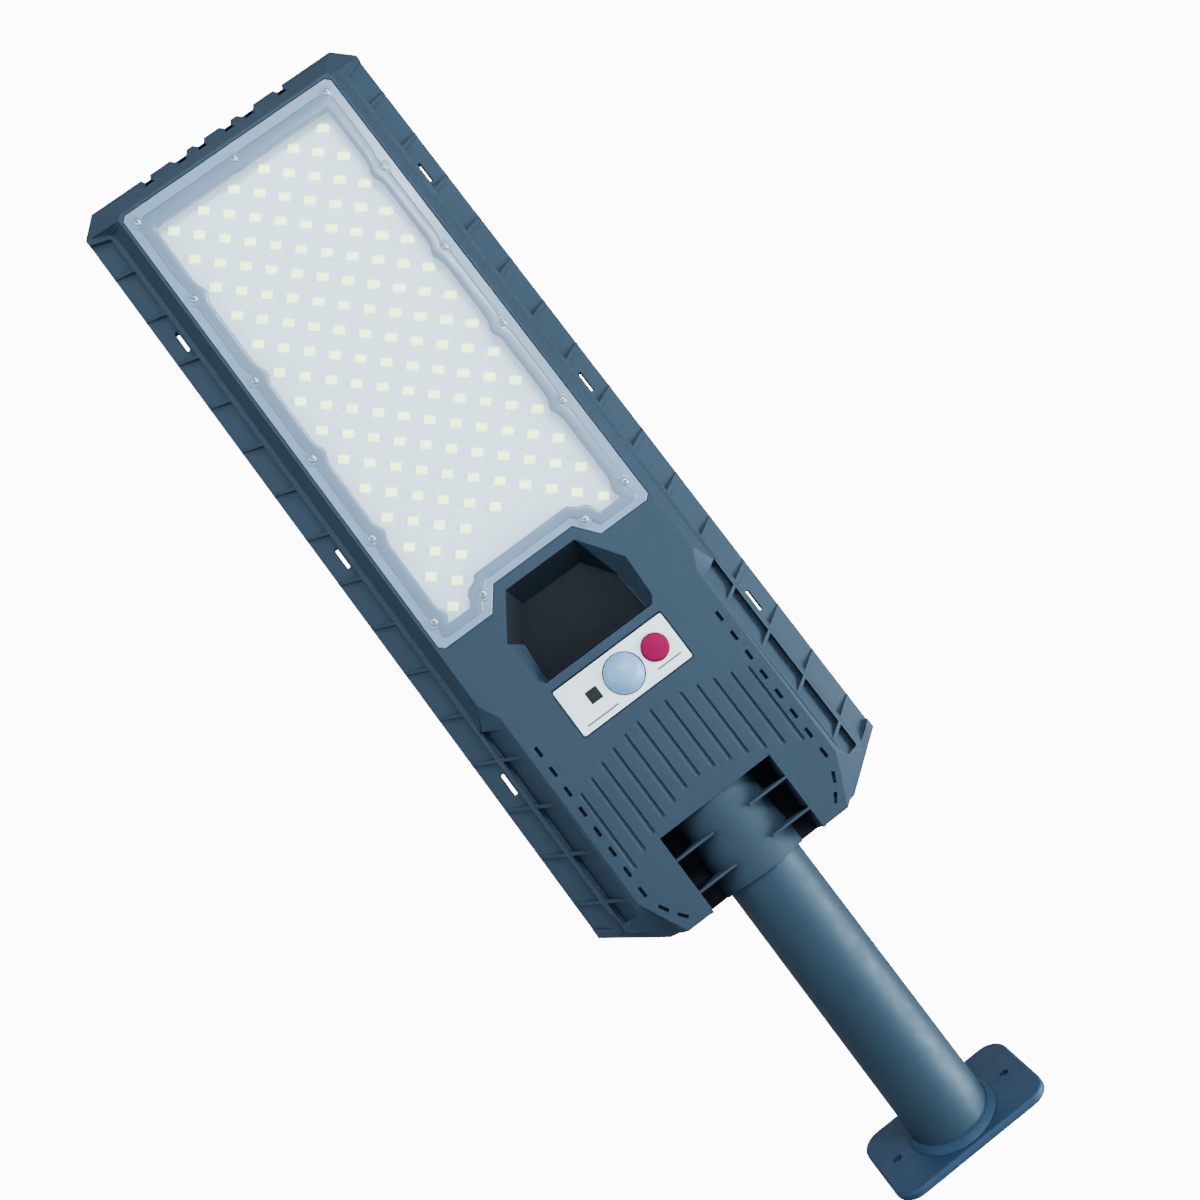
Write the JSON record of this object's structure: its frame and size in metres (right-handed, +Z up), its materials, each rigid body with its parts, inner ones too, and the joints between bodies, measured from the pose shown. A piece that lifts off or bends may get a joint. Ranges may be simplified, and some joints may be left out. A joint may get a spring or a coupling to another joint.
{
  "type": "solar street lamp",
  "caption": "Solar street lamp: a flat LED head with its solar panel on top slides onto a tube arm welded to a wall plate, with a motion sensor and a push button.",
  "frame": {"origin": "centre of the wall plate's back face, which lies flat on the wall", "axes": "+Y into the wall, +Z up; the arm and the head reach out along -Y and rise 17 degrees, with the LED face down and the solar panel up"},
  "size_m": [0.204, 0.714, 0.2752],
  "materials": {
    "bracket_paint": "semi-gloss powder coat",
    "housing_plastic": "fine moulded grain",
    "clear_cover": "clear with a frosted border",
    "black_rubber": "matt",
    "screw_steel": "plain",
    "led_board_white": "white solder mask",
    "led_chip": "yellow-green phosphor",
    "label_white": "satin",
    "dome_plastic": "milky",
    "dark_window": "smoked",
    "button_red": "satin",
    "black_plastic": "matt",
    "circuit_board": "solder mask",
    "panel_glass": "tempered glass",
    "silicon_cell": "dark blue",
    "backsheet_white": "matt",
    "cell_wrap": "shrink wrap",
    "wire_red": "insulation",
    "wire_black": "insulation",
    "wire_grey": "insulation"
  },
  "bodies": {
    "bracket": {"wall_plate": "bracket_paint", "arm_tube": "bracket_paint", "weld_bead": "bracket_paint"},
    "head": {"front_frame": "housing_plastic", "back_shell": "housing_plastic", "lens_cover": "clear_cover", "lens_gasket": "black_rubber", "panel_sealant": "black_rubber", "lens_screw_01": "screw_steel", "lens_screw_02": "screw_steel", "lens_screw_03": "screw_steel", "lens_screw_04": "screw_steel", "lens_screw_05": "screw_steel", "lens_screw_06": "screw_steel", "lens_screw_07": "screw_steel", "lens_screw_08": "screw_steel", "lens_screw_09": "screw_steel", "lens_screw_10": "screw_steel", "lens_screw_11": "screw_steel", "lens_screw_12": "screw_steel", "lens_screw_13": "screw_steel", "lens_screw_14": "screw_steel", "lens_screw_15": "screw_steel", "shell_screw_1": "screw_steel", "shell_screw_2": "screw_steel", "shell_screw_3": "screw_steel", "shell_screw_4": "screw_steel", "shell_screw_5": "screw_steel", "shell_screw_6": "screw_steel", "clamp_bolt_1": "screw_steel", "clamp_bolt_2": "screw_steel", "clamp_nut_1": "screw_steel", "clamp_nut_2": "screw_steel", "button_spring": "screw_steel", "pir_sensor": "screw_steel", "led_board": "led_board_white", "led_array": "led_chip", "label_plate": "label_white", "pir_dome": "dome_plastic", "ir_window": "dark_window", "ir_receiver": "dark_window", "switch_body": "black_plastic", "solar_terminal_box": "black_plastic", "battery_holder": "black_plastic", "battery_strap": "black_plastic", "control_board": "circuit_board", "protection_board": "circuit_board", "solar_glass": "panel_glass", "solar_cells": "silicon_cell", "solar_backsheet": "backsheet_white", "battery_cell_1": "cell_wrap", "battery_cell_2": "cell_wrap", "battery_cell_3": "cell_wrap", "battery_cell_4": "cell_wrap", "solar_wire_red": "wire_red", "battery_wire_red": "wire_red", "solar_wire_black": "wire_black", "battery_wire_black": "wire_black", "led_lead": "wire_grey"},
    "button": {"button_cap": "button_red"}
  },
  "joints": [
    {"name": "head_slide", "type": "slide", "parent": "bracket", "child": "head", "axis": [0, -0.9563, 0.2924], "range_m": [0, 0.055]},
    {"name": "button_push", "type": "slide", "parent": "head", "child": "button", "axis": [0, 0.2924, 0.9563], "range_m": [0, 0.0025], "stiffness_N_per_m": 400, "springref_m": -0.002, "deforming": ["button_spring"]}
  ]
}
